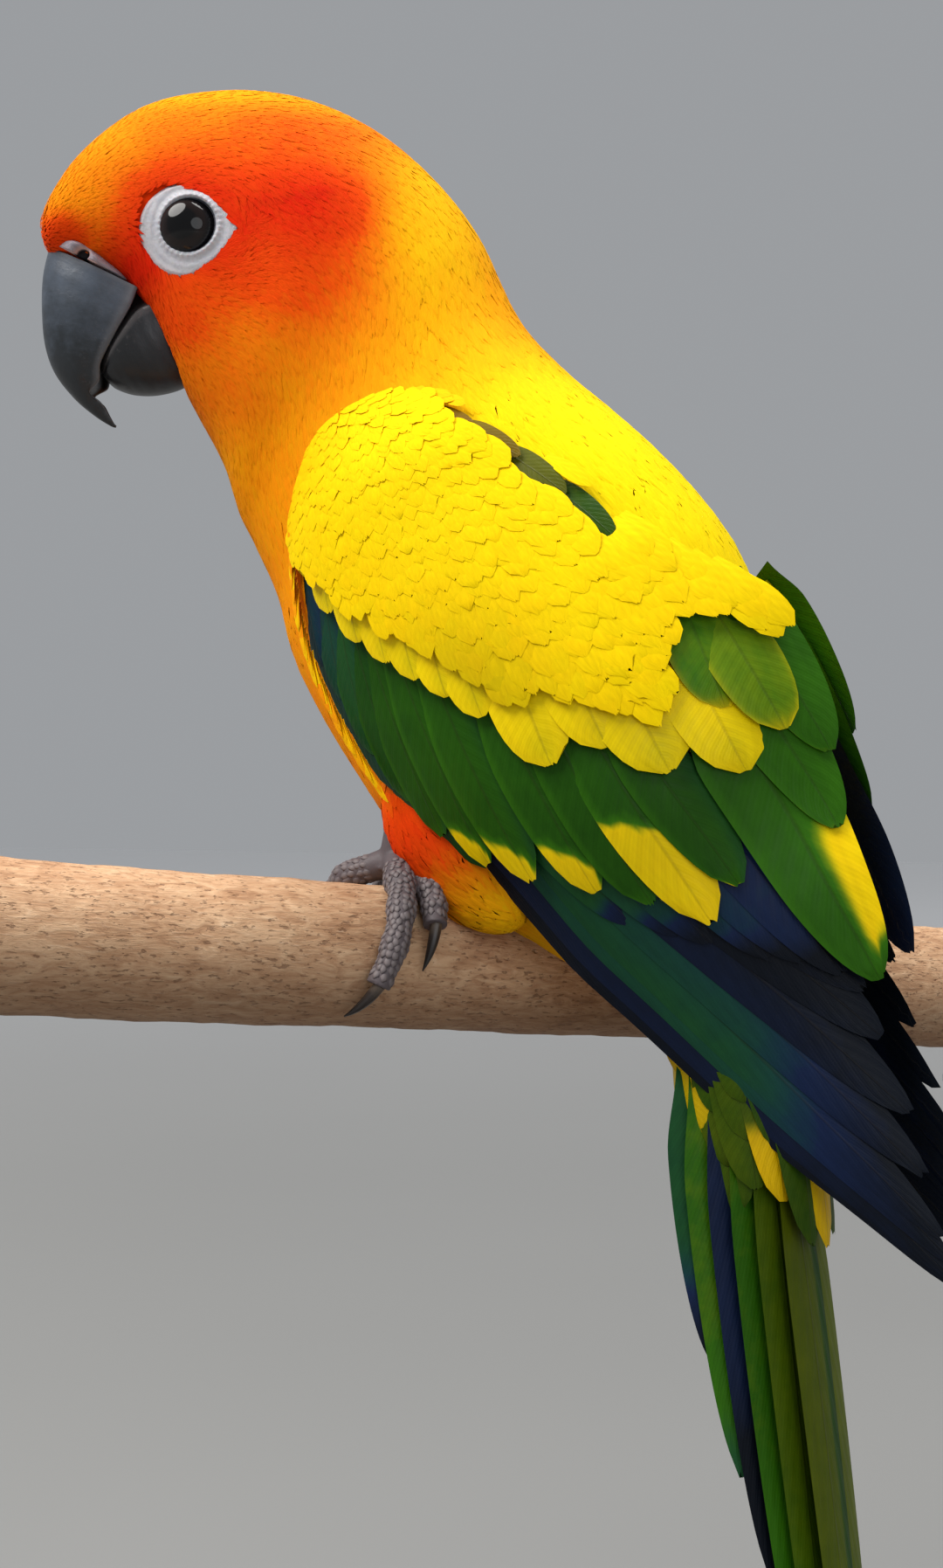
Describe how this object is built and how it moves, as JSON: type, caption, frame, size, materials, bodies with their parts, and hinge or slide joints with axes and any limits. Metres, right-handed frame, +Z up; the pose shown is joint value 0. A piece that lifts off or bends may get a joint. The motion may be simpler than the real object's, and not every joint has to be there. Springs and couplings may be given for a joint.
{
  "type": "sun conure on a perch",
  "caption": "Life-size sun conure, a small orange and yellow parrot with green wings, perched on a short length of branch on a plain display stand.",
  "frame": {"origin": "middle of the base's underside, on the floor", "axes": "+Z up; the bird faces -X and its left side is towards -Y"},
  "size_m": [0.1796, 0.2198, 0.2501],
  "materials": {
    "head_plumage": "matte",
    "body_plumage": "matte",
    "wing_plumage": "satin",
    "tail_plumage": "satin",
    "bill": "satin",
    "bare_skin": "matte",
    "eye": "gloss",
    "foot_skin": "matte",
    "claw": "satin",
    "perch_wood": "matte",
    "stand_wood": "satin",
    "stand_metal": "satin"
  },
  "bodies": {
    "root": {"head": "head_plumage", "cere": "bare_skin", "bill_upper": "bill", "bill_lower": "bill", "eye_left": "eye", "eye_right": "eye", "neck": "head_plumage", "torso": "body_plumage", "wing_left": "wing_plumage", "wing_right": "wing_plumage", "tail": "tail_plumage", "thigh_left": "body_plumage", "thigh_right": "body_plumage", "foot_left": "foot_skin", "claw_left_outer_front": "claw", "claw_left_inner_front": "claw", "claw_left_outer_back": "claw", "claw_left_inner_back": "claw", "foot_right": "foot_skin", "claw_right_outer_front": "claw", "claw_right_inner_front": "claw", "claw_right_outer_back": "claw", "claw_right_inner_back": "claw", "perch": "perch_wood", "stand_base": "stand_wood", "stand_rod_left": "stand_metal", "stand_rod_right": "stand_metal"}
  },
  "joints": []
}
